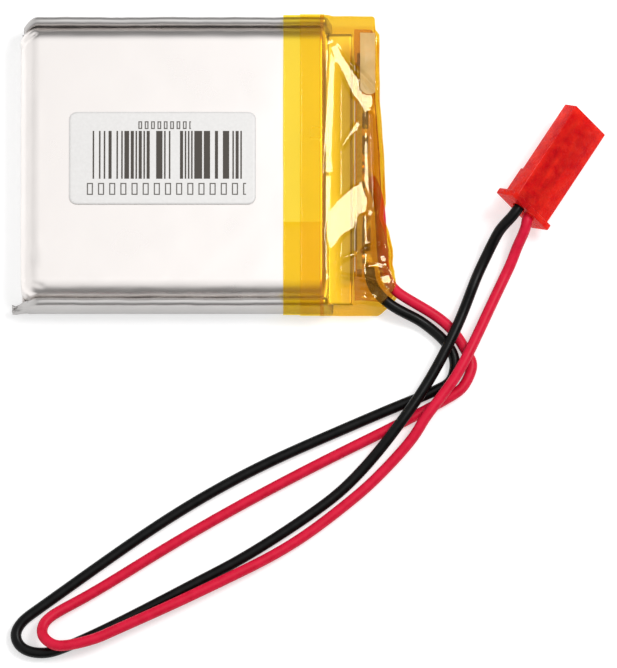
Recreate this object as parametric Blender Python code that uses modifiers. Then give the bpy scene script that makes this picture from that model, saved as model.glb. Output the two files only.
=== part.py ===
"""Single-cell lithium-polymer pouch pack with a protection board, two leads and a two-pin plug.

The pack lies on its back on the plane Z = 0. +X runs from the folded end of the pouch to the header,
+Y across the pack and +Z out of its broad face. The origin is the middle of the footprint.
"""

import math

import bmesh
import bpy
import numpy as np
from mathutils import Matrix, Vector

MM = 0.001

# Pouch: one deep-drawn cup of laminate closed by a flat back, with both side seams folded up.
PACK_WIDTH = 50.0 * MM
PACK_THICKNESS = 7.8 * MM
FILM = 0.15 * MM
CUP_START, CUP_END = -30.0 * MM, 20.6 * MM
CUP_HALF_WIDTH = 23.3 * MM
CUP_LOW, CUP_HIGH = 0.5 * MM, 7.5 * MM
SHOULDER = 3.0 * MM
CUP_CORNER = 3.3 * MM
TERRACE_END = 24.8 * MM
TERRACE_HIGH = 1.0 * MM
BACK_STEP = 0.27 * MM
BACK_STEP_START = 12.6 * MM
SEAM_INNER, SEAM_OUTER = 23.75 * MM, 24.6 * MM
SEAM_FILM = 0.3 * MM
SEAM_LOW, SEAM_HIGH = 0.45 * MM, 5.2 * MM
EAR_REACH = 31.4 * MM

# Electrode stack: alternating plates with one separator folded between them.
PLATES = 13
PLATE_PITCH = 0.5 * MM
PLATE = 0.25 * MM
STACK_LOW = 0.75 * MM
STACK_START, STACK_END = -27.6 * MM, 18.2 * MM
PLATE_HALF_WIDTH = 20.2 * MM
SEPARATOR = 0.09 * MM
FOLD_HALF_WIDTH = 20.6 * MM
TONGUE_END = 18.9 * MM
TAB_WIDTH = 5.0 * MM
TAB = 0.12 * MM
TAB_Z = 0.62 * MM
POSITIVE_Y, NEGATIVE_Y = 16.0 * MM, -11.4 * MM

# Header: a board on edge beyond the terrace, with its parts on the outer face.
BOARD_X = 25.9 * MM
BOARD = (0.8 * MM, 37.0 * MM, 4.9 * MM)
BOARD_Z = 3.75 * MM
BOARD_FACE = BOARD_X + BOARD[0] / 2
PART_GAP = 0.06 * MM

# Tape: two belts round the pouch and a cap over the header.
TAPE = 0.1 * MM
BELT_START, SECOND_BELT_START, BELT_END = 13.3 * MM, 16.1 * MM, 21.1 * MM
HEADER_START = 21.3 * MM
HEADER_HIGH = 7.2 * MM

LABEL = (30.8 * MM, 15.8 * MM, 0.08 * MM)
LABEL_CENTRE = (-6.6 * MM, 0.1 * MM)

# Leads: each one smooth curve through these points of its centre line, in millimetres.
LEAD_DIAMETER = 1.8 * MM
CORE_DIAMETER = 0.9 * MM
BLACK_ROUTE = [
    (27.5, -17.5, 3.1), (28.2, -20.6, 3.1), (31.3, -23.8, 2.7), (35.1, -25.6, 1.5), (37.2, -26.9, 1.0),
    (40.1, -29.6, 0.92), (41.6, -32.9, 0.92), (40.9, -36.1, 0.92), (39.2, -37.4, 0.92), (36.7, -38.6, 0.92),
    (32.6, -40.3, 0.92), (21.9, -45.0, 0.92), (9.5, -50.8, 0.92), (-3.7, -58.4, 0.92), (-16.9, -67.6, 0.92),
    (-27.2, -75.2, 0.92), (-29.6, -77.2, 0.92), (-30.6, -79.2, 0.92), (-30.0, -81.1, 0.92),
    (-28.2, -82.2, 0.92), (-25.8, -82.4, 0.92), (-23.4, -81.8, 0.92), (-15.3, -78.1, 0.92),
    (-0.4, -70.2, 0.92), (7.8, -65.6, 0.92), (20.2, -57.1, 0.92), (24.7, -53.1, 1.0), (27.8, -49.8, 1.6),
    (30.5, -46.6, 2.4), (32.9, -43.4, 2.9), (37.4, -36.5, 2.95), (42.3, -26.6, 2.9), (44.4, -20.8, 1.7),
    (45.6, -17.7, 1.5), (47.0, -14.8, 2.1), (48.3, -12.5, 3.7), (49.4, -11.1, 5.2), (50.9, -9.6, 6.0),
    (52.2, -7.9, 6.2), (53.6, -5.6, 5.9),
]
RED_ROUTE = [
    (27.7, -2.2, 3.4), (29.1, -6.5, 3.4), (30.0, -17.6, 3.3), (31.4, -20.8, 3.1), (33.3, -22.3, 2.75),
    (37.9, -24.8, 1.45), (41.5, -27.9, 0.92), (43.9, -31.9, 0.92), (44.4, -33.8, 0.92), (43.2, -36.8, 0.92),
    (42.2, -37.9, 0.92), (40.4, -39.1, 0.92), (32.6, -43.4, 0.92), (21.9, -48.9, 0.92), (7.8, -56.5, 0.92),
    (-7.0, -65.3, 0.97), (-19.4, -73.1, 1.14), (-25.1, -76.7, 1.85), (-26.2, -78.4, 2.25),
    (-26.1, -80.0, 2.65), (-24.8, -81.3, 2.92), (-22.8, -81.7, 3.0), (-17.9, -80.6, 2.95),
    (-15.1, -79.4, 2.8), (-5.4, -74.8, 2.38), (4.5, -69.8, 1.78), (15.3, -63.6, 1.0), (24.3, -56.7, 0.98),
    (28.5, -52.9, 1.05), (34.7, -46.1, 2.1), (36.7, -43.0, 2.75), (40.8, -37.4, 3.0), (43.8, -32.1, 3.0),
    (47.3, -24.2, 1.9), (49.8, -18.6, 1.3), (51.0, -16.0, 1.7), (52.0, -13.6, 2.7), (53.3, -10.8, 4.3),
    (53.7, -9.0, 4.5), (55.1, -6.7, 4.3),
]

# Plug: rolled on to one long edge, with its mating end slightly down.
PLUG_TIP = (61.73 * MM, 9.08 * MM, 7.65 * MM)
PLUG_YAW, PLUG_PITCH, PLUG_ROLL = math.radians(32.0), math.radians(5.0), math.radians(41.6)
PLUG_WIDTH, PLUG_HEIGHT, PLUG_LENGTH = 8.0 * MM, 3.1 * MM, 19.3 * MM
FLANGE_LENGTH, FLANGE_SIDE, FLANGE_TOP = 1.1 * MM, 0.88 * MM, 0.12 * MM
LATCH_LENGTH, LATCH_HEIGHT = 5.1 * MM, 1.25 * MM
CAVITY_DEPTH, CAVITY_WALL = 8.0 * MM, 0.75 * MM
CONTACT_PITCH = 2.5 * MM
CONTACT_DEPTH = 1.75 * MM
LEAD_BORE, LEAD_BORE_DEPTH = 2.3 * MM, 4.6 * MM
CONTACT_BORE = 1.7 * MM

FINISHES = {
    "laminate": ((0.80, 0.79, 0.78), 0.32, 0.85),
    "seam_film": ((0.70, 0.69, 0.68), 0.38, 0.85),
    "cathode": ((0.06, 0.06, 0.065), 0.6, 0.2),
    "anode": ((0.11, 0.10, 0.10), 0.6, 0.1),
    "separator": ((0.93, 0.93, 0.90), 0.5, 0.0),
    "aluminium": ((0.80, 0.80, 0.80), 0.35, 1.0),
    "nickel": ((0.66, 0.62, 0.56), 0.3, 1.0),
    "sealant": ((0.86, 0.84, 0.78), 0.4, 0.0),
    "board": ((0.02, 0.10, 0.05), 0.45, 0.0),
    "chip": ((0.03, 0.03, 0.03), 0.5, 0.0),
    "ceramic": ((0.55, 0.45, 0.35), 0.5, 0.0),
    "solder": ((0.72, 0.72, 0.73), 0.25, 1.0),
    "paper": ((0.60, 0.47, 0.30), 0.8, 0.0),
    "amber_tape": ((0.90, 0.55, 0.05), 0.2, 0.0),
    "stack_tape": ((0.10, 0.35, 0.20), 0.3, 0.0),
    "label": ((0.88, 0.87, 0.86), 0.5, 0.0),
    "red_silicone": ((0.70, 0.02, 0.06), 0.35, 0.0),
    "black_silicone": ((0.01, 0.01, 0.01), 0.3, 0.0),
    "tinned_copper": ((0.75, 0.72, 0.68), 0.3, 1.0),
    "red_plastic": ((0.75, 0.02, 0.02), 0.2, 0.0),
    "brass": ((0.80, 0.62, 0.30), 0.25, 1.0),
}


def clear_scene():
    for obj in list(bpy.data.objects):
        bpy.data.objects.remove(obj, do_unlink=True)


def make_collection(name):
    made = bpy.data.collections.new(name)
    bpy.context.scene.collection.children.link(made)
    return made


def make_material(name):
    colour, roughness, metallic = FINISHES[name]
    material = bpy.data.materials.new(name)
    material.use_nodes = True
    shader = material.node_tree.nodes["Principled BSDF"]
    shader.inputs["Base Color"].default_value = (*colour, 1.0)
    shader.inputs["Roughness"].default_value = roughness
    shader.inputs["Metallic"].default_value = metallic
    return material


def add_object(name, mesh, finish=None, smooth_angle=None):
    """An object from a bmesh. Without a finish it is a cutter or a helper."""
    data = bpy.data.meshes.new(name)
    mesh.to_mesh(data)
    mesh.free()
    obj = bpy.data.objects.new(name, data)
    if finish is None:
        obj.hide_render = True
        obj.display_type = "WIRE"
        CUTTERS.objects.link(obj)
        return obj
    data.materials.append(MATERIALS[finish])
    PACK.objects.link(obj)
    if smooth_angle is not None:
        data.shade_smooth()
        data.set_sharp_from_angle(angle=math.radians(smooth_angle))
    return obj


def box_mesh(low, high):
    mesh = bmesh.new()
    bmesh.ops.create_cube(mesh, size=1.0)
    low, high = Vector(low), Vector(high)
    size, middle = high - low, (low + high) / 2
    for vert in mesh.verts:
        vert.co = Vector(c * s for c, s in zip(vert.co, size)) + middle
    return mesh


def add_box(name, low, high, finish=None, bevel=0.0):
    obj = add_object(name, box_mesh(low, high), finish)
    if bevel:
        modifier = obj.modifiers.new("Edges", "BEVEL")
        modifier.width = bevel
        modifier.segments = 1
    return obj


def cylinder_mesh(start, end, radius, sides=16):
    start, end = Vector(start), Vector(end)
    along = end - start
    mesh = bmesh.new()
    turn = along.to_track_quat("Z", "Y").to_matrix().to_4x4()
    bmesh.ops.create_cone(
        mesh, cap_ends=True, segments=sides, radius1=radius, radius2=radius, depth=along.length,
        matrix=Matrix.Translation((start + end) / 2) @ turn,
    )
    return mesh


def add_boolean(obj, other, operation="DIFFERENCE"):
    modifier = obj.modifiers.new(f"{operation.title()} {other.name}", "BOOLEAN")
    modifier.operation = operation
    modifier.object = other
    modifier.solver = "EXACT"


def add_solidify(obj, thickness, offset):
    modifier = obj.modifiers.new("Thickness", "SOLIDIFY")
    modifier.thickness = thickness
    modifier.offset = offset
    modifier.use_even_offset = True


def strip_mesh(profiles):
    """A surface through rows of points, one row for each profile."""
    mesh = bmesh.new()
    rows = [[mesh.verts.new(point) for point in profile] for profile in profiles]
    for near, far in zip(rows, rows[1:]):
        for i in range(len(near) - 1):
            mesh.faces.new((near[i], near[i + 1], far[i + 1], far[i]))
    return mesh


def arc(centre, radius, start, end, steps):
    """Points on an arc in a plane, from angle start to angle end in degrees."""
    angles = np.radians(np.linspace(start, end, steps + 1))
    return [(centre[0] + radius * math.cos(a), centre[1] + radius * math.sin(a)) for a in angles]


def smooth_curve(route, steps=24):
    """Points on the natural cubic spline through the route, in the route's own units."""
    points = np.array(route, float)
    spans = np.sqrt(np.linalg.norm(np.diff(points, axis=0), axis=1))
    count = len(points)
    matrix, right = np.eye(count), np.zeros((count, 3))
    for i in range(1, count - 1):
        before, after = spans[i - 1], spans[i]
        matrix[i, i - 1:i + 2] = before, 2 * (before + after), after
        right[i] = 6 * ((points[i + 1] - points[i]) / after - (points[i] - points[i - 1]) / before)
    bends = np.linalg.solve(matrix, right)
    made = []
    for i, span in enumerate(spans):
        for t in np.arange(steps) / steps * span:
            left = span - t
            cubic = (bends[i] * left**3 + bends[i + 1] * t**3) / (6 * span)
            line = (points[i] / span - bends[i] * span / 6) * left
            made.append(cubic + line + (points[i + 1] / span - bends[i + 1] * span / 6) * t)
    return np.array([*made, points[-1]])


def thinned(points, longest, widest_turn):
    """The fewest of these points that keep each step under a length and each turn under an angle."""
    kept, turned, gone = [points[0]], 0.0, 0.0
    for before, here, after in zip(points, points[1:], points[2:]):
        a, b = here - before, after - here
        gone += np.linalg.norm(a)
        turned += math.acos(min(1.0, a @ b / np.linalg.norm(a) / np.linalg.norm(b)))
        if gone > longest or turned > widest_turn:
            kept.append(here)
            turned, gone = 0.0, 0.0
    return [*kept, points[-1]]


# Pouch


def make_pouch_cup():
    mesh = box_mesh((CUP_START, -CUP_HALF_WIDTH, CUP_LOW), (CUP_END, CUP_HALF_WIDTH, CUP_HIGH))
    uprights = [e for e in mesh.edges if abs(e.verts[0].co.z - e.verts[1].co.z) > MM]
    bmesh.ops.bevel(mesh, geom=uprights, offset=CUP_CORNER, segments=3, profile=0.5, affect="EDGES")
    rim = [e for e in mesh.edges if all(abs(v.co.z - CUP_HIGH) < FILM / 9 for v in e.verts)]
    bmesh.ops.bevel(mesh, geom=rim, offset=SHOULDER, segments=4, profile=0.5, affect="EDGES")
    floor = [f for f in mesh.faces if f.normal.z < -0.9]
    bmesh.ops.delete(mesh, geom=floor, context="FACES_ONLY")
    end_edge = [
        e for e in mesh.edges
        if e.is_boundary and all(abs(v.co.x - CUP_END) < FILM / 9 for v in e.verts)
    ]
    for vert in end_edge[0].verts:
        vert.co.z = TERRACE_HIGH
    terrace = bmesh.ops.extrude_edge_only(mesh, edges=end_edge)["geom"]
    for vert in [v for v in terrace if isinstance(v, bmesh.types.BMVert)]:
        vert.co.x = TERRACE_END
    obj = add_object("pouch_cup", mesh, "laminate", 35)
    add_solidify(obj, FILM, -1.0)


def make_pouch_base():
    """The flat back: it curls up at the folded end and steps in where the tape is wound over it."""
    step_x = BACK_STEP_START + 0.4 * MM
    profile = [
        (CUP_START + 0.17 * MM, 0.17 * MM), (CUP_START + 0.6 * MM, 0.0), (BACK_STEP_START, 0.0),
        (step_x, BACK_STEP), (TERRACE_END, BACK_STEP),
    ]
    half = CUP_HALF_WIDTH - 0.2 * MM
    mesh = strip_mesh([[(x, y, z) for x, z in profile] for y in (-half, half)])
    obj = add_object("pouch_base", mesh, "laminate")
    add_solidify(obj, FILM, 1.0)


def make_seam(name, side):
    """A side seam, folded back on itself and standing against the cup's wall."""
    middle, radius = (SEAM_INNER + SEAM_OUTER) / 2, (SEAM_OUTER - SEAM_INNER) / 2
    section = [(SEAM_INNER, SEAM_LOW), (SEAM_OUTER - 0.35 * MM, SEAM_LOW)]
    section.append((SEAM_OUTER, SEAM_LOW + 0.35 * MM))
    section += arc((middle, SEAM_HIGH - radius), radius, 0, 180, 5)
    section += [(SEAM_INNER, SEAM_LOW + 1.2 * MM)]
    stations = [(CUP_START + 0.4 * MM, 1.0), (CUP_START + 6 * MM, 1.0), (TERRACE_END, 1.0)]
    if side < 0:
        ear = [(-EAR_REACH, 0.42), (CUP_START - 0.2 * MM, 0.62), (CUP_START + 2.2 * MM, 1.0)]
        stations = [*ear, stations[2]]
    rows = []
    for x, share in stations:
        rows.append([(x, side * y, SEAM_LOW + (z - SEAM_LOW) * share) for y, z in section])
    mesh = strip_mesh(rows)
    obj = add_object(name, mesh, "seam_film", 40)
    add_solidify(obj, SEAM_FILM, 0.0)


# Electrode stack


def plate_height(index):
    return STACK_LOW + index * PLATE_PITCH


def make_plate(index):
    """An electrode plate with the foil tongue that runs towards its own tab."""
    anode = index % 2 == 0
    tongue_y = NEGATIVE_Y if anode else POSITIVE_Y
    name = f"{'anode' if anode else 'cathode'}_plate_{index // 2 + 1}"
    low, high = plate_height(index), plate_height(index) + PLATE
    inset = 0.0 if anode else 0.6 * MM
    obj = add_box(
        name, (STACK_START + inset, -PLATE_HALF_WIDTH + inset, low),
        (STACK_END - inset, PLATE_HALF_WIDTH - inset, high), "anode" if anode else "cathode",
    )
    foil = add_box(
        f"foil_of_{name}", (STACK_END - 2 * MM, tongue_y - TAB_WIDTH / 2, low + PLATE / 3),
        (TONGUE_END, tongue_y + TAB_WIDTH / 2, high - PLATE / 3),
    )
    add_boolean(obj, foil, "UNION")


def make_separator():
    """One sheet folded to and fro between the plates, and under and over the stack."""
    sheets = PLATES + 1
    first = STACK_LOW - (PLATE_PITCH - PLATE) / 2
    path = [(-FOLD_HALF_WIDTH, first)]
    for k in range(sheets):
        z = first + k * PLATE_PITCH
        right = k % 2 == 0
        end = FOLD_HALF_WIDTH if right else -FOLD_HALF_WIDTH
        path.append((end, z))
        if k == sheets - 1:
            break
        bend = arc((end, z + PLATE_PITCH / 2), PLATE_PITCH / 2, -90, 90, 4)
        path += [(y if right else 2 * end - y, height) for y, height in bend[1:]]
    ends = (STACK_START - 0.3 * MM, STACK_END + 0.3 * MM)
    obj = add_object("separator", strip_mesh([[(x, y, z) for y, z in path] for x in ends]), "separator")
    add_solidify(obj, SEPARATOR, 0.0)


def make_sleeve(name, outline, start, end, thickness, finish):
    """A loop of tape round the X axis. The outline is its outer face, in Y and Z."""
    mesh = strip_mesh([[(x, y, z) for y, z in [*outline, outline[0]]] for x in (start, end)])
    bmesh.ops.remove_doubles(mesh, verts=mesh.verts, dist=MM / 1000)
    obj = add_object(name, mesh, finish, 30)
    bmesh_faces_out(obj)
    add_solidify(obj, thickness, -1.0)


def bmesh_faces_out(obj):
    """Turns the faces of a loop round the X axis away from its middle."""
    mesh = bmesh.new()
    mesh.from_mesh(obj.data)
    middle = sum((v.co for v in mesh.verts), Vector()) / len(mesh.verts)
    face = max(mesh.faces, key=lambda f: f.calc_center_median().z)
    if face.normal.dot(face.calc_center_median() - middle) < 0:
        bmesh.ops.reverse_faces(mesh, faces=mesh.faces)
    mesh.to_mesh(obj.data)
    mesh.free()


def rounded_loop(half_width, low, high, bottom_radius, top_radius):
    """A loop in Y and Z with small corners below and wide shoulders above."""
    loop = arc((half_width - bottom_radius, low + bottom_radius), bottom_radius, -90, 0, 2)
    loop += arc((half_width - top_radius, high - top_radius), top_radius, 0, 90, 4)
    return loop + [(-y, z) for y, z in reversed(loop)]


def make_stack_tape():
    loop = rounded_loop(21.25 * MM, 0.45 * MM, 7.29 * MM, 0.3 * MM, 0.7 * MM)
    make_sleeve("stack_tape", loop, -8 * MM, -2 * MM, 0.07 * MM, "stack_tape")


def make_tab(name, y, finish, outer_x):
    """A terminal tab: down inside the pouch, out through the header seal and up beyond the board."""
    path = [(19.8, 3.5), (19.8, 0.9), (20.1, 0.62), (outer_x - 0.35, 0.62), (outer_x, 0.95), (outer_x, 4.6)]
    rows = [[(x * MM, y + side * TAB_WIDTH / 2, z * MM) for x, z in path] for side in (-1, 1)]
    obj = add_object(name, strip_mesh(rows), finish)
    add_solidify(obj, TAB, 0.0)


def make_sealant(name, y):
    """Plastic strip that seals the laminate to a tab, with a slot that the tab passes through."""
    half = TAB_WIDTH / 2
    low, high = (21.2 * MM, y - half - MM, 0.45 * MM), (25.0 * MM, y + half + MM, 0.8 * MM)
    obj = add_box(name, low, high, "sealant")
    slot = add_box(
        f"slot_in_{name}", (20 * MM, y - half - 0.05 * MM, TAB_Z - 0.09 * MM),
        (26 * MM, y + half + 0.05 * MM, TAB_Z + 0.09 * MM),
    )
    add_boolean(obj, slot)


def make_foil_weld(name, y, finish):
    """The plates' foils, gathered and welded to the inner leg of the tab."""
    profile = [(19.1, 0.7), (19.6, 0.7), (19.6, 3.6), (19.4, 6.3), (19.1, 6.3)]
    half = TAB_WIDTH / 2 - 0.2 * MM
    mesh = bmesh.new()
    face = mesh.faces.new([mesh.verts.new((x * MM, y - half, z * MM)) for x, z in profile])
    grown = bmesh.ops.extrude_face_region(mesh, geom=[face])["geom"]
    for vert in [v for v in grown if isinstance(v, bmesh.types.BMVert)]:
        vert.co.y = y + half
    bmesh.ops.recalc_face_normals(mesh, faces=mesh.faces)
    add_object(name, mesh, finish)


# Header


def make_board():
    x, y, z = BOARD
    add_box(
        "protection_board", (BOARD_X - x / 2, -y / 2, BOARD_Z - z / 2),
        (BOARD_X + x / 2, y / 2, BOARD_Z + z / 2), "board",
    )
    paper = BOARD_X - x / 2 - 0.3 * MM
    add_box(
        "board_insulator", (paper - 0.15 * MM, -y / 2 - 0.4 * MM, 1.2 * MM),
        (paper, y / 2 + 0.4 * MM, BOARD_Z + z / 2 + 0.1 * MM), "paper",
    )


def make_chip(name, y, length, height, legs_per_side):
    """A moulded chip on the board's outer face with flat legs above and below."""
    face = BOARD_FACE + PART_GAP
    obj = add_box(
        name, (face + 0.1 * MM, y - length / 2, BOARD_Z - height / 2),
        (face + 1.0 * MM, y + length / 2, BOARD_Z + height / 2), "chip", bevel=0.08 * MM,
    )
    legs = bmesh.new()
    pitch = length / legs_per_side
    for i in range(legs_per_side):
        middle = y - length / 2 + (i + 0.5) * pitch
        reach = height / 2 + 0.55 * MM
        leg = box_mesh(
            (face, middle - 0.14 * MM, BOARD_Z - reach),
            (face + 0.25 * MM, middle + 0.14 * MM, BOARD_Z + reach),
        )
        data = bpy.data.meshes.new("leg")
        leg.to_mesh(data)
        leg.free()
        legs.from_mesh(data)
        bpy.data.meshes.remove(data)
    add_boolean(obj, add_object(f"legs_of_{name}", legs), "UNION")


def make_chip_parts():
    make_chip("dual_mosfet", 8.6 * MM, 4.2 * MM, 2.6 * MM, 4)
    make_chip("protection_chip", 3.4 * MM, 2.9 * MM, 1.6 * MM, 3)
    face = BOARD_FACE + PART_GAP
    for name, y, finish in (
        ("resistor_1", -3.4 * MM, "chip"),
        ("resistor_2", -5.0 * MM, "chip"),
        ("capacitor", -6.6 * MM, "ceramic"),
    ):
        add_box(
            name,
            (face, y - 0.4 * MM, BOARD_Z - 0.8 * MM),
            (face + 0.5 * MM, y + 0.4 * MM, BOARD_Z + 0.8 * MM),
            finish, bevel=0.05 * MM,
        )


def make_nickel_strip(name, y):
    """A strip soldered to the board and folded over the end of the tab."""
    near, far = 26.5, 27.45
    path = [(near, 2.0), (near, 5.1), (near + 0.25, 5.35), (far - 0.25, 5.35), (far, 5.1), (far, 2.6)]
    half = TAB_WIDTH / 2 - 0.3 * MM
    rows = [[(x * MM, y + side * half, z * MM) for x, z in path] for side in (-1, 1)]
    obj = add_object(name, strip_mesh(rows), "nickel")
    add_solidify(obj, 0.12 * MM, 0.0)


def make_core_and_joint(lead, core_name, joint_name, route):
    """A lead's stripped end, bent in to the board, and the dome of solder round it."""
    start = Vector(route[0]) * MM
    away = (start - Vector(route[1]) * MM).normalized()
    neck = start + away * 0.9 * MM
    foot = Vector((BOARD_FACE + 0.6 * MM, neck.y + 0.9 * MM, neck.z))
    points = [start + away * 0.1 * MM, neck, foot]
    add_tube(core_name, points, CORE_DIAMETER, "tinned_copper")
    mesh = bmesh.new()
    bmesh.ops.create_uvsphere(mesh, u_segments=14, v_segments=8, radius=1.15 * MM)
    for vert in mesh.verts:
        vert.co.x *= 0.75
        vert.co += Vector((BOARD_FACE + PART_GAP, foot.y, foot.z))
    dome = add_object(joint_name, mesh, "solder", 60)
    under = add_box(
        f"board_side_of_{lead}", (BOARD_FACE - 2 * MM, foot.y - 2 * MM, foot.z - 2 * MM),
        (BOARD_FACE + PART_GAP, foot.y + 2 * MM, foot.z + 2 * MM),
    )
    add_boolean(dome, under)
    run = (foot - neck).normalized()
    bore = cylinder_mesh(foot - run * 4 * MM, foot + run * 0.15 * MM, CORE_DIAMETER / 2 + 0.06 * MM)
    add_boolean(dome, add_object(f"bore_for_{core_name}", bore))


def add_tube(name, points, diameter, finish):
    """A round wire along these points."""
    data = bpy.data.curves.new(name, "CURVE")
    data.dimensions = "3D"
    spline = data.splines.new("POLY")
    spline.points.add(len(points) - 1)
    for vert, point in zip(spline.points, points):
        vert.co = (*point, 1.0)
    data.bevel_depth = diameter / 2
    data.bevel_resolution = 2
    data.use_fill_caps = True
    data.materials.append(MATERIALS[finish])
    obj = bpy.data.objects.new(name, data)
    PACK.objects.link(obj)
    return obj


def make_lead(name, route, finish):
    points = thinned(smooth_curve(route), longest=5.6, widest_turn=math.radians(20))
    add_tube(name, [Vector(p) * MM for p in points], LEAD_DIAMETER, finish)


# Tape and label


def inset(loop, depth):
    """A convex loop, run counter-clockwise, moved inwards by this depth."""
    points = [Vector(point) for point in loop]
    made = []
    for before, here, after in zip([points[-1], *points], points, [*points[1:], points[0]]):
        a, b = (here - before).normalized(), (after - here).normalized()
        normal_a, normal_b = Vector((-a.y, a.x)), Vector((-b.y, b.x))
        made.append(tuple(here + (normal_a + normal_b) * depth / (1 + normal_a.dot(normal_b))))
    return made


def make_belts():
    """Over the broad face, down the shoulder to the seam's rim and straight down to the back."""
    half, high = PACK_WIDTH / 2, PACK_THICKNESS
    right = [(half - 0.4 * MM, 0.0), (half, 0.4 * MM), (half, 5.45 * MM), (half - 0.65 * MM, 5.95 * MM)]
    right += [(21.7 * MM, high - 0.27 * MM), (20.0 * MM, high)]
    loop = right + [(-y, z) for y, z in reversed(right)]
    make_sleeve(
        "tape_belt_inner", inset(loop, 0.12 * MM), BELT_START, BELT_END - 0.1 * MM, 0.08 * MM, "amber_tape"
    )
    make_sleeve("tape_belt_outer", loop, SECOND_BELT_START, BELT_END, 0.08 * MM, "amber_tape")


def make_header_tape():
    """Tape folded over the header like a cap, open towards the pouch and where the leads leave."""
    plan = [
        (21.3, -24.95), (25.6, -24.95), (29.6, -24.6), (31.0, -22.4), (31.4, -19.2), (31.4, -13.6),
        (30.6, -6.0), (30.2, 4.0), (29.5, 18.0), (28.8, 24.7), (25.6, 24.95), (21.3, 24.95),
    ]
    mesh = bmesh.new()
    ring = [mesh.verts.new((x * MM, y * MM, 0.0)) for x, y in plan]
    floor = mesh.faces.new(ring)
    grown = bmesh.ops.extrude_face_region(mesh, geom=[floor])["geom"]
    for vert in [v for v in grown if isinstance(v, bmesh.types.BMVert)]:
        drop = 0.6 * MM * (vert.co.x - HEADER_START) / (9 * MM)
        vert.co.z = HEADER_HIGH - drop
    bmesh.ops.recalc_face_normals(mesh, faces=mesh.faces)
    open_end = [f for f in mesh.faces if f.normal.x < -0.9]
    bmesh.ops.delete(mesh, geom=open_end, context="FACES_ONLY")
    top = [e for e in mesh.edges if not e.is_boundary and all(v.co.z > 5 * MM for v in e.verts)]
    bmesh.ops.bevel(mesh, geom=top, offset=0.9 * MM, segments=2, profile=0.5, affect="EDGES")
    obj = add_object("header_tape", mesh, "amber_tape", 30)
    add_solidify(obj, TAPE, -1.0)
    mouth = box_mesh((-1.6 * MM, -3.2 * MM, -1.3 * MM), (1.6 * MM, 3.2 * MM, 1.3 * MM))
    ends = [e for e in mouth.edges if abs(e.verts[0].co.x - e.verts[1].co.x) > MM]
    bmesh.ops.bevel(mouth, geom=ends, offset=1.2 * MM, segments=3, profile=0.5, affect="EDGES")
    turn = Matrix.Rotation(math.radians(-12), 4, "Z")
    mouth.transform(Matrix.Translation(Vector((30.9, -20.9, 3.1)) * MM) @ turn)
    add_boolean(obj, add_object("lead_mouth_in_tape", mouth))


def make_label():
    size_x, size_y, thickness = LABEL
    low = CUP_HIGH + 0.05 * MM
    x, y = LABEL_CENTRE
    mesh = box_mesh((x - size_x / 2, y - size_y / 2, low), (x + size_x / 2, y + size_y / 2, low + thickness))
    corners = [e for e in mesh.edges if abs(e.verts[0].co.z - e.verts[1].co.z) > thickness / 2]
    bmesh.ops.bevel(mesh, geom=corners, offset=1.2 * MM, segments=4, profile=0.5, affect="EDGES")
    add_object("label", mesh, "label")


# Plug


def plug_frame():
    """Matrix whose X runs back from the mating end, Y inwards from the upper face and Z across it."""
    forward = Vector((
        math.cos(PLUG_PITCH) * math.sin(PLUG_YAW),
        math.cos(PLUG_PITCH) * math.cos(PLUG_YAW),
        -math.sin(PLUG_PITCH),
    ))
    level = Vector((math.cos(PLUG_YAW), -math.sin(PLUG_YAW), 0.0))
    up = level.cross(forward)
    across = math.cos(PLUG_ROLL) * level - math.sin(PLUG_ROLL) * up
    inward = -math.sin(PLUG_ROLL) * level - math.cos(PLUG_ROLL) * up
    turn = Matrix((-forward, inward, across)).transposed().to_4x4()
    return Matrix.Translation(PLUG_TIP) @ turn


def in_plug(obj):
    obj.data.transform(plug_frame())
    return obj


def plug_box(name, low, high, finish=None):
    return in_plug(add_box(name, low, high, finish))


def plug_bore(name, start, end, diameter, across, sides=16):
    ends = [(x, CONTACT_DEPTH, across) for x in (start, end)]
    return in_plug(add_object(name, cylinder_mesh(*ends, diameter / 2, sides)))


def make_plug():
    width, height, length = PLUG_WIDTH, PLUG_HEIGHT, PLUG_LENGTH
    over = 0.3 * MM
    housing = plug_box("plug_housing", (0, 0, 0), (length - over, height, width), "red_plastic")
    flange = plug_box(
        "flange", (length - FLANGE_LENGTH, -FLANGE_TOP, -FLANGE_SIDE),
        (length, height + LATCH_HEIGHT, width + FLANGE_SIDE),
    )
    latch = plug_box(
        "latch_block", (length - FLANGE_LENGTH - LATCH_LENGTH, height - over, 0.4 * MM),
        (length - over, height + LATCH_HEIGHT - 0.1 * MM, width - 0.4 * MM),
    )
    for added in (flange, latch):
        add_boolean(housing, added, "UNION")
    soften = housing.modifiers.new("Moulded edges", "BEVEL")
    soften.width = 0.18 * MM
    soften.segments = 2
    soften.limit_method = "ANGLE"
    soften.angle_limit = math.radians(40)
    cavity = plug_box(
        "mating_cavity", (-over, CAVITY_WALL, CAVITY_WALL),
        (CAVITY_DEPTH, height - CAVITY_WALL, width - CAVITY_WALL),
    )
    add_boolean(housing, cavity)
    for i, side in enumerate((-1, 1)):
        across = width / 2 + side * CONTACT_PITCH / 2
        pocket = plug_bore(f"contact_pocket_{i + 1}", CAVITY_DEPTH - over, length, CONTACT_BORE, across)
        add_boolean(housing, pocket)
        mouth_start = length - LEAD_BORE_DEPTH
        mouth = plug_bore(f"lead_mouth_{i + 1}", mouth_start, length + 2 * MM, LEAD_BORE, across)
        add_boolean(housing, mouth)


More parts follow.
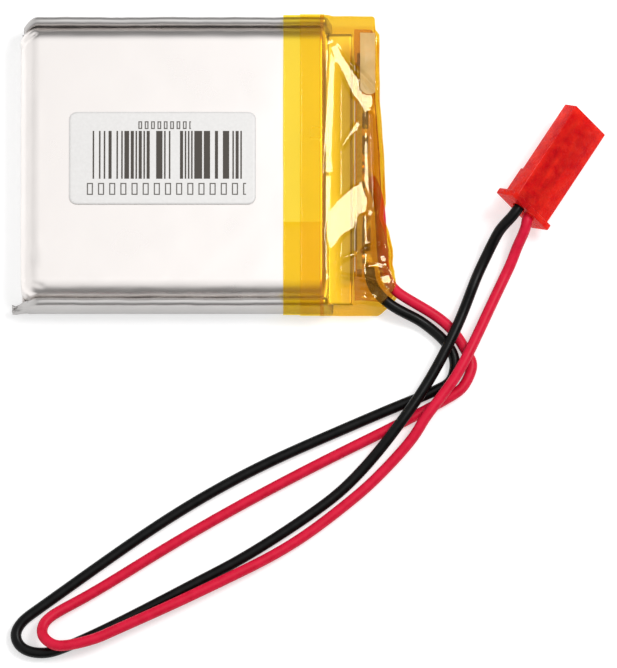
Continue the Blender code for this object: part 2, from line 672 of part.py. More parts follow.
def make_contact(name, side):
    """A pin that stands in the mating cavity, with its box and its crimp behind it."""
    across = PLUG_WIDTH / 2 + side * CONTACT_PITCH / 2
    y = CONTACT_DEPTH
    half_pin, half_box = 0.32 * MM, 0.5 * MM
    pin = plug_box(
        name, (1.2 * MM, y - half_pin, across - half_pin), (9 * MM, y + half_pin, across + half_pin), "brass"
    )
    body = plug_box(
        f"body_of_{name}",
        (8.8 * MM, y - half_box, across - half_box),
        (13.2 * MM, y + half_box, across + half_box),
    )
    crimp = plug_bore(f"crimp_of_{name}", 13.0 * MM, 15.6 * MM, 1.24 * MM, across, 12)
    for added in (body, crimp):
        add_boolean(pin, added, "UNION")


def main():
    make_pouch_cup()
    make_pouch_base()
    make_seam("side_seam_front", -1)
    make_seam("side_seam_rear", 1)
    for index in range(PLATES):
        make_plate(index)
    make_separator()
    make_stack_tape()
    make_foil_weld("positive_foil_weld", POSITIVE_Y, "aluminium")
    make_foil_weld("negative_foil_weld", NEGATIVE_Y, "brass")
    make_tab("positive_tab", POSITIVE_Y, "aluminium", 27.7)
    make_tab("negative_tab", NEGATIVE_Y, "nickel", 27.7)
    make_sealant("positive_tab_sealant", POSITIVE_Y)
    make_sealant("negative_tab_sealant", NEGATIVE_Y)
    make_board()
    make_chip_parts()
    make_nickel_strip("nickel_strip_positive", POSITIVE_Y)
    make_nickel_strip("nickel_strip_negative", NEGATIVE_Y)
    make_belts()
    make_header_tape()
    make_label()
    make_lead("black_lead", BLACK_ROUTE, "black_silicone")
    make_lead("red_lead", RED_ROUTE, "red_silicone")
    make_core_and_joint("black_lead", "black_core", "solder_joint_black", BLACK_ROUTE)
    make_core_and_joint("red_lead", "red_core", "solder_joint_red", RED_ROUTE)
    make_plug()
    make_contact("contact_black", -1)
    make_contact("contact_red", 1)


clear_scene()
PACK = make_collection("lipo_battery_pack")
CUTTERS = make_collection("cutters")
MATERIALS = {name: make_material(name) for name in FINISHES}
main()
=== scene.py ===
"""Looks of the lithium-polymer pouch pack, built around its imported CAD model.

Positions are in the pack's own frame: X from the folded end to the header, Y across, Z out of the broad
face. Meshes are worked out in millimetres and scaled to metres when they are made.
"""

import math

import bmesh
import bpy
import numpy as np
from mathutils import Matrix, Vector, noise


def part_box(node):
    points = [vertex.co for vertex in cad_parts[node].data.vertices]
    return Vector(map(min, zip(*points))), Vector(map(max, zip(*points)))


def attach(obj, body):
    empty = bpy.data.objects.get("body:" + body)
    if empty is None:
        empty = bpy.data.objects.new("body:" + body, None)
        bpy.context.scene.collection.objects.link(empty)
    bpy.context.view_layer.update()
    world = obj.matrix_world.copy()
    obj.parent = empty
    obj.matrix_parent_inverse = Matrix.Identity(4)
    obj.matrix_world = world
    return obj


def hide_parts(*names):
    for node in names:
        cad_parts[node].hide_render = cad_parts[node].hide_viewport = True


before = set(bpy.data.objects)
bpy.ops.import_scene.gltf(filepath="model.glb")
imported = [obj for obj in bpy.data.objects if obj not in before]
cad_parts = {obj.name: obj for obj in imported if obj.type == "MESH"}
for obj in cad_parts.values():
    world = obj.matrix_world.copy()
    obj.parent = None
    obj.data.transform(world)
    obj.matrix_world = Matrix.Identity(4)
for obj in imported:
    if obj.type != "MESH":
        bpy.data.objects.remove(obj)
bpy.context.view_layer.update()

MM = 0.001
WELD = 0.001
TINY, FAR = 1e-9, 40.0

# Every material made so far, by name.
MATERIALS = {}

# Leads: the routes of their centre lines in millimetres, as in the CAD model.
LEAD_DIAMETER = 1.8
CURVE_STEPS = 16
BLACK_ROUTE = [
    (27.5, -17.5, 3.1), (28.2, -20.6, 3.1), (31.3, -23.8, 2.7), (35.1, -25.6, 1.5), (37.2, -26.9, 1.0),
    (40.1, -29.6, 0.92), (41.6, -32.9, 0.92), (40.9, -36.1, 0.92), (39.2, -37.4, 0.92), (36.7, -38.6, 0.92),
    (32.6, -40.3, 0.92), (21.9, -45.0, 0.92), (9.5, -50.8, 0.92), (-3.7, -58.4, 0.92), (-16.9, -67.6, 0.92),
    (-27.2, -75.2, 0.92), (-29.6, -77.2, 0.92), (-30.6, -79.2, 0.92), (-30.0, -81.1, 0.92),
    (-28.2, -82.2, 0.92), (-25.8, -82.4, 0.92), (-23.4, -81.8, 0.92), (-15.3, -78.1, 0.92),
    (-0.4, -70.2, 0.92), (7.8, -65.6, 0.92), (20.2, -57.1, 0.92), (24.7, -53.1, 1.0), (27.8, -49.8, 1.6),
    (30.5, -46.6, 2.4), (32.9, -43.4, 2.9), (37.4, -36.5, 2.95), (42.3, -26.6, 2.9), (44.4, -20.8, 1.7),
    (45.6, -17.7, 1.5), (47.0, -14.8, 2.1), (48.3, -12.5, 3.7), (49.4, -11.1, 5.2), (50.9, -9.6, 6.0),
    (52.2, -7.9, 6.2), (53.6, -5.6, 5.9),
]
RED_ROUTE = [
    (27.7, -2.2, 3.4), (29.1, -6.5, 3.4), (30.0, -17.6, 3.3), (31.4, -20.8, 3.1), (33.3, -22.3, 2.75),
    (37.9, -24.8, 1.45), (41.5, -27.9, 0.92), (43.9, -31.9, 0.92), (44.4, -33.8, 0.92), (43.2, -36.8, 0.92),
    (42.2, -37.9, 0.92), (40.4, -39.1, 0.92), (32.6, -43.4, 0.92), (21.9, -48.9, 0.92), (7.8, -56.5, 0.92),
    (-7.0, -65.3, 0.97), (-19.4, -73.1, 1.14), (-25.1, -76.7, 1.85), (-26.2, -78.4, 2.25),
    (-26.1, -80.0, 2.65), (-24.8, -81.3, 2.92), (-22.8, -81.7, 3.0), (-17.9, -80.6, 2.95),
    (-15.1, -79.4, 2.8), (-5.4, -74.8, 2.38), (4.5, -69.8, 1.78), (15.3, -63.6, 1.0), (24.3, -56.7, 0.98),
    (28.5, -52.9, 1.05), (34.7, -46.1, 2.1), (36.7, -43.0, 2.75), (40.8, -37.4, 3.0), (43.8, -32.1, 3.0),
    (47.3, -24.2, 1.9), (49.8, -18.6, 1.3), (51.0, -16.0, 1.7), (52.0, -13.6, 2.7), (53.3, -10.8, 4.3),
    (53.7, -9.0, 4.5), (55.1, -6.7, 4.3),
]

# Pouch, in millimetres. Its other sizes come from the CAD nodes.
CUP_FILM, FLAT_FILM, SEAM_FILM = 0.15, 0.12, 0.22
SHOULDER, END_SHOULDER = 3.0, 1.1
CUP_END = 20.6
FACE_CENTRE, FACE_HALF = (-4.7, 0.0), (25.3, 23.3)
FLANGE_START, FLANGE_END, FLANGE_TOP = 20.7, 24.8, 0.92
# Creases: start and end seen from above, half width, and how far each stands up.
POUCH_CREASES = [
    ((-30.2, 19.6), (-27.6, 21.6), 0.3, -0.22),
    ((-30.0, 20.6), (-27.8, 22.4), 0.35, 0.14),
    ((-29.4, -14.6), (-27.2, -17.2), 0.4, -0.16),
    ((-29.9, -20.5), (-26.5, -21.6), 0.5, -0.12),
]

# Folded side seams, in millimetres.
SEAM_INNER, SEAM_OUTER, SEAM_FOOT = 23.3, 24.6, 0.45
FRONT_SEAM_TOP, REAR_SEAM_TOP = 6.1, 6.85
SEAM_END = 21.6
SEAM_TUCK_START, SEAM_TUCK_END, TUCKED_TOP = 20.3, 21.4, 0.9
EAR_END, LAID_CORNER_START, LAID_CORNER_LENGTH = -27.0, -27.2, 2.8

# Label, in millimetres. Its print is placed from its middle.
LABEL_FILM, LABEL_CORNER = 0.06, 1.3
BAR_MODULE = 0.262
BARS_X, BARS_Y = (-12.0, 13.2), (-3.55, 4.65)
BOX_LINE = 0.2
LOWER_BOXES = {"pitch": 1.84, "share": 0.55, "x": (-12.9, 13.8), "y": (-6.3, -4.25)}
UPPER_BOXES = {"pitch": 1.05, "share": 0.6, "x": (-4.2, 4.7), "y": (4.95, 6.3)}

# Tape belts, in millimetres.
TAPE = 0.05
TAPE_TOP, TAPE_HALF = 7.8, 25.0
FIRST_TAPE_START, SECOND_TAPE_START, TAPE_END = 13.3, 16.1, 19.9
FIRST_TAPE_DEPTH, OVERLAP_DEPTH = 0.14, 0.075
OVERLAP_Y = -10.8
# How far tape has come down from the top face, at places across the pack.
EDGE_FALL = [
    (-24.95, 2.3), (-24.5, 1.35), (-23.8, 0.95), (-22.8, 0.6), (-21.7, 0.27), (-20.6, 0.06), (-19.4, 0.0),
    (19.4, 0.0), (20.6, 0.03), (21.7, 0.08), (22.8, 0.14), (23.8, 0.22), (24.5, 0.34), (24.95, 0.6),
]

# Header film, in millimetres.
HEADER_LOW, HEADER_HIGH = np.array([19.4, -24.95, 0.02]), np.array([31.4, 24.95, 7.74])
HEADER_ROUNDING = 0.7
# The X that its outer edge reaches, at places across the pack.
HEADER_REACH = [
    (-24.9, 29.3), (-24.2, 29.9), (-22.8, 31.4), (-21.2, 32.6), (-19.4, 32.0), (-17.0, 31.3),
    (-14.6, 31.5), (-11.6, 30.8), (-9.4, 29.9), (-7.2, 30.1), (-5.5, 30.3), (3.0, 29.9), (10.7, 29.3),
    (21.6, 29.2), (22.4, 28.6), (24.95, 28.5),
]
# Its height along X where it hangs slack, and where the rear corner holds it taut.
SLACK_HEIGHT = [
    (19.6, 7.84), (20.4, 7.78), (21.2, 7.5), (22.0, 6.9), (22.8, 5.95), (24.4, 6.05), (25.2, 6.2),
    (26.0, 6.55), (26.8, 6.5), (28.0, 6.05), (29.4, 5.4), (33.0, 4.0),
]
TAUT_HEIGHT = [(19.6, 7.84), (20.6, 7.76), (21.6, 7.6), (26.5, 7.35), (28.6, 7.2), (33.0, 6.8)]
HEADER_CREASES = [
    ((23.4, 17.8), (28.4, 12.6), 0.5, -0.45),
    ((22.0, -17.6), (29.0, -14.0), 0.35, 0.5),
    ((21.0, -19.2), (29.5, -20.8), 0.4, 0.6),
    ((22.5, -21.6), (28.0, -22.4), 0.6, -0.4),
    ((27.6, 8.0), (28.2, -8.0), 0.35, 0.35),
]
# Flat facets pulled taut in the film: outline seen from above, a point on it, and its slopes.
FACET_EDGE = 0.35
FACETS = [
    ([(24.8, -4.5), (26.3, -3.8), (27.3, -6.7), (27.0, -8.7), (25.5, -9.3), (25.0, -11.6), (23.2, -12.8),
      (21.9, -14.7), (21.0, -15.2), (20.5, -13.5), (20.5, -11.5), (21.2, -8.7), (22.2, -7.0)],
     (23.8, -9.6, 6.85), (-0.275, 0.043)),
    ([(20.9, 19.0), (22.0, 19.6), (24.7, 15.6), (27.0, 12.0), (28.1, 10.9), (27.9, 9.3), (26.5, 9.0),
      (24.7, 11.2), (22.7, 15.5)],
     (24.4, 14.15, 6.95), (-0.245, 0.0)),
    ([(21.1, 18.4), (21.9, 16.5), (21.7, 8.0), (21.2, -2.4), (20.3, -2.4), (20.5, 8.0)],
     (20.8, 0.0, 7.55), (-0.275, 0.02)),
    ([(25.4, 6.8), (26.2, 6.2), (24.4, 4.0), (23.2, 2.2), (22.9, 2.6), (24.2, 4.8)],
     (24.4, 4.5, 6.6), (-0.26, 0.04)),
    ([(23.0, -17.0), (23.2, -16.6), (25.8, -15.2), (25.9, -15.6)],
     (24.5, -16.1, 6.6), (-0.27, 0.04)),
    ([(29.2, -19.3), (30.7, -19.0), (31.2, -20.0), (30.4, -21.3), (29.6, -20.9)],
     (30.2, -20.1, 4.9), (-0.27, 0.04)),
    ([(27.2, -18.1), (27.4, -17.7), (30.3, -17.2), (30.4, -17.6)],
     (28.9, -17.6, 5.6), (-0.27, 0.04)),
]
# The hole that the leads leave by, past an X: its middle and half size across and up.
MOUTH_START = 29.4
MOUTH_Y, MOUTH_Z, MOUTH_HALF_WIDTH, MOUTH_HALF_HEIGHT = -21.2, 3.0, 2.9, 1.4
# Its inner turn: the X where it starts, and the share of its way at which it bends down.
TURN_START, TURN_DOWN = 25.0, 0.62
# Its loose end, turned back over the board.
FLAP_X, FLAP_Y = (26.0, 28.5), (11.3, 21.6)

# Plug, in millimetres, in a frame that runs back from its mating tip.
PLUG_TIP = (61.73, 9.08, 7.65)
PLUG_YAW, PLUG_PITCH, PLUG_ROLL = math.radians(32.0), math.radians(5.0), math.radians(41.6)
PLUG_WIDTH, PLUG_HEIGHT, PLUG_LENGTH = 8.0, 3.1, 19.3
CONTACT_PITCH, CONTACT_DEPTH = 2.5, 1.75
PLUG_FLANGE, FLANGE_REACH = 1.1, 0.88
LATCH_LENGTH, LATCH_INSET, LATCH_HEIGHT = 6.2, 0.4, 1.15
RIB_START, RIB_END, RIB_INSET, RIB_HALF = 1.6, 12.6, 1.0, 0.25
CAVITY_DEPTH, CAVITY_WALL = 8.0, 0.75
POCKET_START, POCKET_DIAMETER = 7.5, 1.7
MOUTH_DEPTH, MOUTH_DIAMETER = 4.6, 2.3
WINDOW_START, WINDOW_END, WINDOW_HALF = 9.4, 11.6, 0.55
OVERRUN = 1.0

# Camera, sky and floor, in millimetres. The sky's greys go from the horizon to overhead.
CAMERA_ELEVATION = math.radians(75)
CAMERA_FIELD = math.radians(1.5)
CAMERA_TARGET = (17.49, -27.9, 0.0)
VIEW_HEIGHT = 110.2
SKY = [(0.0, 0.20), (0.25, 0.16), (0.6, 0.26), (0.87, 0.94), (1.0, 1.0)]
FLOOR_HALF, FLOOR_Z = 3000.0, -0.2


# Meshes


def corners(node):
    """A CAD node's lowest and highest corner in millimetres."""
    low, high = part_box(node)
    return np.array(low) / MM, np.array(high) / MM


def new_object(name, data):
    obj = bpy.data.objects.new(name, data)
    bpy.context.scene.collection.objects.link(obj)
    return obj


def settle(piece, node=None):
    """Puts a finished piece on the pack's one body, and hides the CAD node that it stands for, if one is
    given.
    """
    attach(piece, "root")
    if node:
        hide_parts(node)


def make_film(name, points, faces, material, thickness, offset=-1.0):
    """A film from points in millimetres: welded, with its faces turned out, and as thick as it says."""
    data = bpy.data.meshes.new(name)
    data.from_pydata([tuple(p) for p in np.asarray(points) * MM], [], faces)
    data.validate()
    data.shade_smooth()
    data.materials.append(MATERIALS[material])
    mesh = bmesh.new()
    mesh.from_mesh(data)
    bmesh.ops.remove_doubles(mesh, verts=mesh.verts, dist=WELD * MM)
    bmesh.ops.recalc_face_normals(mesh, faces=mesh.faces)
    top = max(mesh.faces, key=lambda f: f.calc_center_median().z)
    if top.normal.z < 0:
        bmesh.ops.reverse_faces(mesh, faces=mesh.faces)
    mesh.to_mesh(data)
    mesh.free()
    film = new_object(name, data)
    solidify = film.modifiers.new("Thickness", "SOLIDIFY")
    solidify.thickness = thickness * MM
    solidify.offset = offset
    return film


def flat_grid(x, y):
    """Points at height 0 for every pair of an x and a y."""
    gx, gy = np.meshgrid(x, y, indexing="ij")
    return np.column_stack([gx.ravel(), gy.ravel(), np.zeros(gx.size)])


def swept(stations, section):
    """Points of a Y and Z section repeated at each station along X."""
    return np.array([(x, y, z) for x in stations for y, z in section])


def grid_faces(rows, columns, start=0, loop=False):
    """Quads over rows of points. With loop, each row closes on itself."""
    last = columns if loop else columns - 1
    faces = []
    for i in range(rows - 1):
        here, above = start + i * columns, start + (i + 1) * columns
        for j in range(last):
            beside = (j + 1) % columns
            faces.append((here + j, here + beside, above + beside, above + j))
    return faces


def fine_at_ends(low, high, edge, fine, coarse):
    """Coordinates from low to high, close together within edge of both ends."""
    near = np.arange(0, edge, fine)
    middle = np.linspace(low + edge, high - edge, max(2, round((high - low - 2 * edge) / coarse)))
    return np.concatenate([low + near, middle, high - near[::-1]])


def box_sheets(low, high, sides, edge, fine, coarse):
    """Points and quads over the named sides of a box, with the grid finer near its edges."""
    edges = np.minimum(edge, (high - low) / 2.5)
    axes = [fine_at_ends(low[k], high[k], edges[k], fine, coarse) for k in range(3)]
    points, faces = [], []
    for side in sides:
        fixed, value = "xyz".index(side[1]), high if side[0] == "+" else low
        a, b = [k for k in range(3) if k != fixed]
        grid = np.zeros((len(axes[a]), len(axes[b]), 3))
        grid[..., a] = axes[a][:, None]
        grid[..., b] = axes[b][None, :]
        grid[..., fixed] = value[fixed]
        faces += grid_faces(len(axes[a]), len(axes[b]), sum(len(p) for p in points))
        points.append(grid.reshape(-1, 3))
    return np.concatenate(points), faces


def rounded(points, core_low, core_high, radius):
    """Points on a box drawn in on to its rounded edges, within radius of a core box."""
    core = np.clip(points, core_low, core_high)
    out = points - core
    length = np.linalg.norm(out, axis=1, keepdims=True)
    return core + out / np.maximum(length, TINY) * np.minimum(length, radius)


def wave(points, size, seed):
    """Smooth noise from -1 to 1 at each point. size is how far apart its features are."""
    shift = Vector((seed * 7.3, seed * 3.1, seed * 5.7))
    return np.array([noise.noise(Vector(p) / size + shift) for p in points])


def read_off(places, pairs):
    """Values at places along a line that joins (place, value) pairs."""
    return np.interp(places, *zip(*pairs))


def smooth_step(values, low, high):
    t = np.clip((values - low) / (high - low), 0, 1)
    return t * t * (3 - 2 * t)


def near_line(points, start, end, width):
    """1 on a line seen from above, falling smoothly to 0 over its width, and past its ends."""
    start, end = np.array(start, float), np.array(end, float)
    along = end - start
    share = np.clip((points[:, :2] - start) @ along / (along @ along), 0, 1)
    away = np.linalg.norm(points[:, :2] - start - share[:, None] * along, axis=1)
    return np.exp(-((away / width) ** 2))


def crease_height(points, creases):
    return sum(height * near_line(points, start, end, width) for start, end, width, height in creases)


def inside(points, outline, soft):
    """1 within an outline seen from above, falling smoothly to 0 over soft millimetres outside it."""
    outline = np.array(outline, float)
    away = np.full(len(points), np.inf)
    within = np.zeros(len(points), bool)
    for start, end in zip(outline, np.roll(outline, -1, axis=0)):
        along = end - start
        offset = points[:, :2] - start
        share = np.clip(offset @ along / (along @ along), 0, 1)
        away = np.minimum(away, np.linalg.norm(offset - share[:, None] * along, axis=1))
        crossed = (start[1] > points[:, 1]) != (end[1] > points[:, 1])
        slope = along[0] / along[1] if along[1] else 0.0
        within ^= crossed & (points[:, 0] < start[0] + offset[:, 1] * slope)
    return np.where(within, 1.0, 1 - smooth_step(away, 0, soft))


def smooth_curve(route):
    """Points on the natural cubic spline through a route, as in the CAD model."""
    points = np.array(route, float)
    spans = np.sqrt(np.linalg.norm(np.diff(points, axis=0), axis=1))
    count = len(points)
    matrix, right = np.eye(count), np.zeros((count, 3))
    for i in range(1, count - 1):
        before, after = spans[i - 1], spans[i]
        matrix[i, i - 1:i + 2] = before, 2 * (before + after), after
        right[i] = 6 * ((points[i + 1] - points[i]) / after - (points[i] - points[i - 1]) / before)
    bends = np.linalg.solve(matrix, right)
    made = []
    for i, span in enumerate(spans):
        for t in np.arange(CURVE_STEPS) / CURVE_STEPS * span:
            left = span - t
            cubic = (bends[i] * left**3 + bends[i + 1] * t**3) / (6 * span)
            line = (points[i] / span - bends[i] * span / 6) * left
            made.append(cubic + line + (points[i + 1] / span - bends[i + 1] * span / 6) * t)
    return np.array([*made, points[-1]])


# Materials


class Graph:
    """A node tree: each method adds a node and returns the output that others read."""

    def __init__(self, tree):
        self.tree = tree

    def put(self, value, socket):
        if isinstance(value, bpy.types.NodeSocket):
            self.tree.links.new(value, socket)
        elif socket.type == "RGBA" and len(value) == 3:
            socket.default_value = (*value, 1.0)
        else:
            socket.default_value = value

    def add(self, kind, inputs=(), **settings):
        """A node of a kind, with inputs by their names."""
        node = self.tree.nodes.new(kind)
        for name, value in settings.items():
            setattr(node, name, value)
        for name, value in dict(inputs).items():
            self.put(value, node.inputs[name])
        return node

    def split(self, vector):
        return self.add("ShaderNodeSeparateXYZ", {"Vector": vector}).outputs

    def ramp(self, value, *stops):
        """stops are (place, colour or grey)."""
        node = self.add("ShaderNodeValToRGB", {"Fac": value})
        elements = node.color_ramp.elements
        while len(elements) < len(stops):
            elements.new(0.5)
        for element, (place, colour) in zip(elements, stops):
            element.position = place
            element.color = (*(colour if hasattr(colour, "__len__") else (colour,) * 3), 1.0)
        return node.outputs["Color"]

    def maths(self, operation, *values):
        node = self.add("ShaderNodeMath", operation=operation)
        for value, socket in zip(values, node.inputs):
            self.put(value, socket)
        return node.outputs[0]

    def mix(self, share, a, b):
        """Colour a, and as much of b as share says."""
        node = self.add("ShaderNodeMix", data_type="RGBA")
        for value, index in ((share, 0), (a, 6), (b, 7)):
            self.put(value, node.inputs[index])
        return node.outputs[2]


class Shader(Graph):
    """A material's nodes. They feed its surface, and it is kept in MATERIALS by name."""

    def __init__(self, name):
        material = bpy.data.materials.new(name)
        material.use_nodes = True
        super().__init__(material.node_tree)
        self.surface = self.tree.nodes["Principled BSDF"]
        coordinates = self.add("ShaderNodeTexCoord").outputs
        self.place, self.facing = coordinates["Object"], coordinates["Normal"]
        MATERIALS[name] = material

    def set(self, **inputs):
        """Sets the surface's inputs, named with _ for a space."""
        for name, value in inputs.items():
            self.put(value, self.surface.inputs[name.replace("_", " ")])

    def stretched(self, scale, turn=(0, 0, 0)):
        """Coordinates scaled per axis, in cells per millimetre."""
        scale = tuple(s / MM for s in scale)
        inputs = {"Vector": self.place, "Scale": scale, "Rotation": turn}
        return self.add("ShaderNodeMapping", inputs).outputs[0]

    def noise(self, size, detail=3.0, roughness=0.5, vector=None):
        """Noise whose features are size millimetres apart, or size cells of a stretched vector."""
        scale = 1 / size if vector else 1 / (size * MM)
        inputs = {"Vector": vector or self.place, "Scale": scale, "Detail": detail, "Roughness": roughness}
        return self.add("ShaderNodeTexNoise", inputs).outputs["Fac"]

    def bump(self, height, depth, strength=1.0):
        """A normal from a height of 0 to 1. depth is in millimetres."""
        inputs = {"Height": height, "Distance": depth * MM, "Strength": strength}
        return self.add("ShaderNodeBump", inputs).outputs[0]

    def see_through(self, tint, share):
        """Lets light through with a tint. share is how much of the surface still shows."""
        clear = self.add("ShaderNodeBsdfTransparent", {"Color": tint})
        mixer = self.add("ShaderNodeMixShader", {"Fac": share})
        self.put(clear.outputs[0], mixer.inputs[1])
        self.put(self.surface.outputs[0], mixer.inputs[2])
        self.put(mixer.outputs[0], self.tree.nodes["Material Output"].inputs["Surface"])


def patterned(name, dark, light, size, roughness, metallic=0.0, depth=0.01, stretch=None):
    """A material whose colour, roughness and surface vary with one noise."""
    shader = Shader(name)
    grain = shader.noise(size, 4.0, 0.55, shader.stretched(stretch) if stretch else None)
    shader.set(
        Base_Color=shader.ramp(grain, (0.3, dark), (0.7, light)),
        Roughness=shader.ramp(grain, (0.3, roughness + 0.08), (0.7, roughness - 0.08)),
        Metallic=metallic,
        Normal=shader.bump(grain, depth),
    )


def laminate(name, tone, roughness):
    """Pouch foil: a satin metal with a faint cloudiness and fine rolled grain."""
    shader = Shader(name)
    cloud = shader.noise(9.0)
    grain = shader.maths("MULTIPLY", shader.noise(0.35, 2.0), 0.02)
    dents = shader.maths("MULTIPLY", shader.noise(5.0, 2.0, 0.4), 0.8)
    shader.set(
        Base_Color=shader.ramp(cloud, (0.3, tuple(0.955 * c for c in tone)), (0.7, tone)),
        Metallic=1.0,
        Roughness=shader.ramp(cloud, (0.3, roughness + 0.03), (0.7, roughness - 0.03)),
        Normal=shader.bump(shader.maths("ADD", dents, grain), 0.04, 0.6),
    )


def tape(name, tint, haze, share, gloss, roughness=0.06, ior=3.5):
    """Clear stained film: tinted where it lets light through, glossy on its faces, with a little haze.

    Only share of the surface is seen, so its gloss is that much stronger than the film's own.
    """
    shader = Shader(name)
    shader.set(
        Base_Color=shader.ramp(shader.noise(3.0), (0.3, tuple(0.8 * c for c in haze)), (0.7, haze)),
        Roughness=roughness,
        IOR=ior,
        Specular_IOR_Level=gloss,
        Normal=shader.bump(shader.noise(0.8, 2.0), 0.012, 0.5),
    )
    shader.see_through(tint, share)


def insulation(name, dark, light, roughness, gloss):
    """Soft lead insulation: nearly even colour, with scuffs and a faint orange peel."""
    shader = Shader(name)
    scuffs = shader.noise(1.6, 5.0, 0.6)
    shader.set(
        Base_Color=shader.ramp(scuffs, (0.32, dark), (0.62, light)),
        Roughness=shader.ramp(scuffs, (0.3, roughness), (0.7, roughness + 0.14)),
        Specular_IOR_Level=gloss,
        Normal=shader.bump(shader.noise(0.22, 2.0), 0.015, 0.5),
    )


def translucent_plastic(name, tint, dark, light, share):
    """Clear red moulding with flow marks, letting what is in it show."""
    shader = Shader(name)
    flow = shader.noise(1.7)
    fine = shader.noise(0.7, 2.0)
    height = shader.maths("ADD", flow, shader.maths("MULTIPLY", fine, 0.05))
    shader.set(
        Base_Color=shader.ramp(flow, (0.34, dark), (0.66, light)),
        Roughness=shader.ramp(fine, (0.3, 0.2), (0.7, 0.3)),
        Specular_IOR_Level=0.25,
        Normal=shader.bump(height, 0.16, 0.6),
    )
    shader.see_through(tint, share)


def label_print(name, ink, dark_paper, light_paper):
    """Pale film label with a block of generic bars and rows of plain boxes under and over it."""
    shader = Shader(name)
    low, high = corners("label")
    centre = (low + high) / 2
    across, up = (
        shader.maths("MULTIPLY_ADD", axis, 1 / MM, -float(middle))
        for axis, middle in zip(shader.split(shader.place), centre[:2])
    )

    def both(a, b):
        return shader.maths("MULTIPLY", a, b)

    def between(value, low, high):
        return both(shader.maths("GREATER_THAN", value, low), shader.maths("LESS_THAN", value, high))

    def boxes(pitch, share, x, y):
        """A row of plain box outlines, each share of its pitch wide."""
        place = shader.maths("FRACT", shader.maths("DIVIDE", across, pitch))
        start, end, line = 0.5 - share / 2, 0.5 + share / 2, BOX_LINE / pitch
        outside = both(between(place, start, end), between(up, *y))
        tall = between(up, y[0] + BOX_LINE, y[1] - BOX_LINE)
        hollow = both(between(place, start + line, end - line), tall)
        return both(shader.maths("SUBTRACT", outside, hollow), between(across, *x))

    cell = shader.maths("FLOOR", shader.maths("DIVIDE", across, BAR_MODULE))
    random = shader.add("ShaderNodeTexWhiteNoise", {"W": cell}, noise_dimensions="1D").outputs["Value"]
    bars = both(shader.maths("LESS_THAN", random, 0.5), both(between(across, *BARS_X), between(up, *BARS_Y)))
    rows = shader.maths("MAXIMUM", boxes(**LOWER_BOXES), boxes(**UPPER_BOXES))
    printed = shader.maths("MAXIMUM", bars, shader.maths("MULTIPLY", rows, 0.92))
    fibres = shader.noise(0.5, 4.0)
    paper = shader.ramp(fibres, (0.3, dark_paper), (0.7, light_paper))
    shader.set(
        Base_Color=shader.mix(printed, paper, ink),
        Roughness=shader.ramp(fibres, (0.3, 0.42), (0.7, 0.5)),
        Normal=shader.bump(fibres, 0.004, 0.5),
    )


def board_mask(name, mask, other_mask, track, dark_edge, light_edge):
    """Solder mask over a grid of tracks, with bare laminate on the board's cut edges."""
    shader = Shader(name)
    broad_face_up = (0, math.radians(90), 0)
    tracks = shader.add("ShaderNodeTexBrick", {
        "Vector": shader.stretched((1.0, 1.0, 1.0), broad_face_up), "Scale": 0.9, "Mortar Size": 0.03,
        "Color1": mask, "Color2": other_mask, "Mortar": track,
    })
    grain = shader.noise(0.6)
    broad = shader.maths("GREATER_THAN", shader.maths("ABSOLUTE", shader.split(shader.facing)[0]), 0.7)
    edge = shader.ramp(grain, (0.3, dark_edge), (0.7, light_edge))
    shader.set(
        Base_Color=shader.mix(broad, edge, tracks.outputs["Color"]),
        Roughness=shader.ramp(grain, (0.3, 0.3), (0.7, 0.42)),
        Normal=shader.bump(tracks.outputs["Fac"], 0.03, 0.6),
    )


